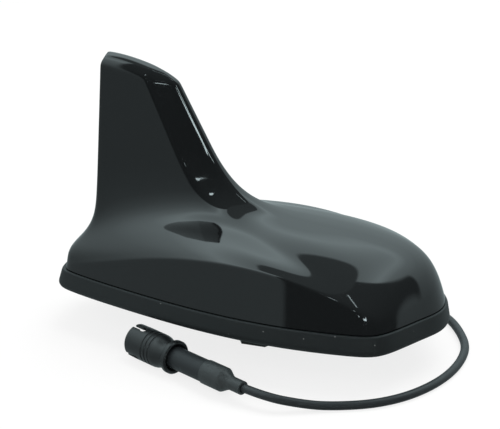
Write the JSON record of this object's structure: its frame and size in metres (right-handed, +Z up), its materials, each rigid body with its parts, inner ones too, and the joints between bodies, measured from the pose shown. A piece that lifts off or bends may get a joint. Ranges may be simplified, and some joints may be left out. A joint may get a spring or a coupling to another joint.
{
  "type": "shark fin aerial",
  "caption": "Vehicle roof aerial with a fin-shaped gloss cover on a rubber skirt, a threaded hollow mounting stud, and a short lead ending in a round push-on plug.",
  "frame": {"origin": "on the mounting stud's axis, in the plane of the skirt's underside that seals to the roof", "axes": "+X towards the nose of the fin, +Z up away from the roof, -Y the side that faces the camera"},
  "size_m": [0.1611, 0.1046, 0.1099],
  "materials": {
    "cover_black": "deep black lacquer over moulded ABS",
    "cast_metal": "as cast",
    "seal_rubber": "moulded, matt",
    "skirt_rubber": "moulded soft plastic, satin",
    "foam": "closed-cell foam",
    "plated_steel": "zinc plated",
    "spring_steel": "bright spring steel",
    "tinned_steel": "tinned sheet",
    "board_laminate": "glass laminate with green solder resist",
    "lead_jacket": "extruded PVC jacket, satin",
    "plated_brass": "nickel plated",
    "gilt_brass": "gold flashed",
    "insulator_white": "turned PTFE",
    "plug_plastic": "moulded nylon, satin",
    "barrel_plastic": "moulded nylon, fine grain",
    "shrink_tube": "shrunk polyolefin sleeve"
  },
  "bodies": {
    "root": {"cover": "cover_black", "base_plate": "cast_metal", "cover_seal": "seal_rubber", "base_skirt": "skirt_rubber", "stud_seal": "foam", "mounting_stud": "plated_steel", "claw_washer": "spring_steel", "mounting_nut": "plated_steel", "stud_grommet": "seal_rubber", "circuit_board": "board_laminate", "board_screws": "plated_steel", "cover_screws": "plated_steel", "shield_can": "tinned_steel", "element_board": "board_laminate", "element_cap": "tinned_steel", "element_clips": "tinned_steel", "feed_spring": "spring_steel", "lead_inner": "lead_jacket", "lead_ferrule": "plated_brass", "aerial_lead": "lead_jacket", "plug_collar": "plug_plastic", "plug_shell": "plated_brass", "plug_insulator": "insulator_white", "plug_pin": "gilt_brass", "plug_barrel": "barrel_plastic", "crimp_ferrule": "plated_brass", "heat_shrink": "shrink_tube"}
  },
  "joints": []
}
